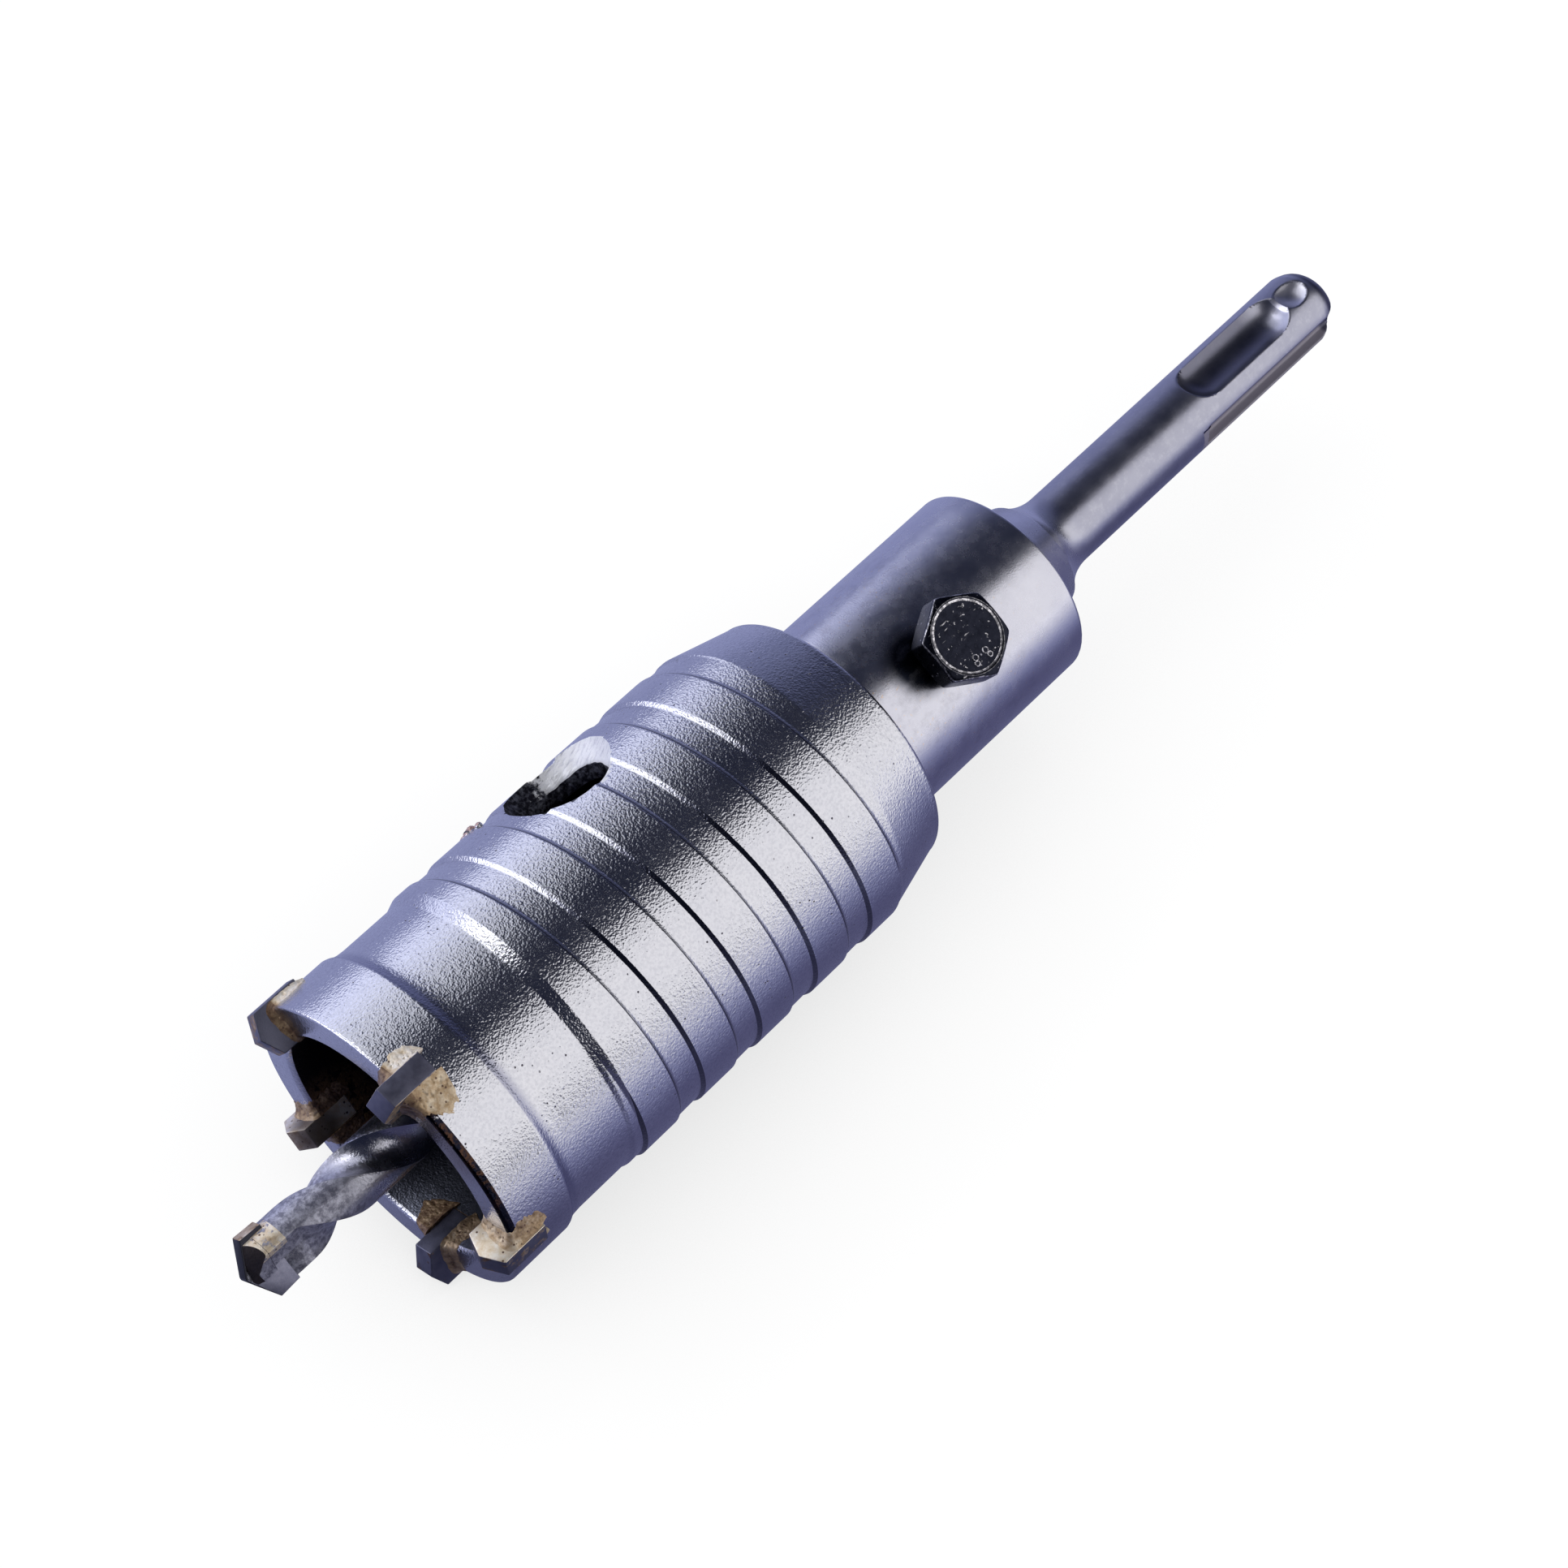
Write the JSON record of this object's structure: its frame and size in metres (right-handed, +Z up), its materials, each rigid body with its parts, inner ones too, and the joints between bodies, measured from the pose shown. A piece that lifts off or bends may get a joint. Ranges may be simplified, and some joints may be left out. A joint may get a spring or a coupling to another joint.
{
  "type": "core drill bit",
  "caption": "Masonry core drill bit: spiral-relieved steel cup with brazed carbide teeth, screwed adaptor with slotted driving shank, pilot drill and clamp bolt.",
  "frame": {"origin": "on the tool axis, in the plane of the cup's rim that the teeth stand out of", "axes": "+X along the tool axis towards the driving shank, +Z up with the tool lying at rest on its cup"},
  "size_m": [0.1863, 0.0407, 0.0403],
  "materials": {
    "blasted_steel": "bead-blasted",
    "satin_steel": "satin",
    "drill_steel": "polished flutes",
    "carbide": "sintered",
    "braze": "rough",
    "black_steel": "black oxide"
  },
  "bodies": {
    "root": {"core_body": "blasted_steel", "carbide_tooth_1": "carbide", "carbide_tooth_2": "carbide", "carbide_tooth_3": "carbide", "carbide_tooth_4": "carbide", "carbide_tooth_5": "carbide", "tooth_braze_1": "braze", "tooth_braze_2": "braze", "tooth_braze_3": "braze", "tooth_braze_4": "braze", "tooth_braze_5": "braze", "adaptor": "satin_steel", "pilot_drill": "drill_steel", "pilot_tip": "carbide", "tip_braze": "braze", "clamp_bolt": "black_steel"}
  },
  "joints": []
}
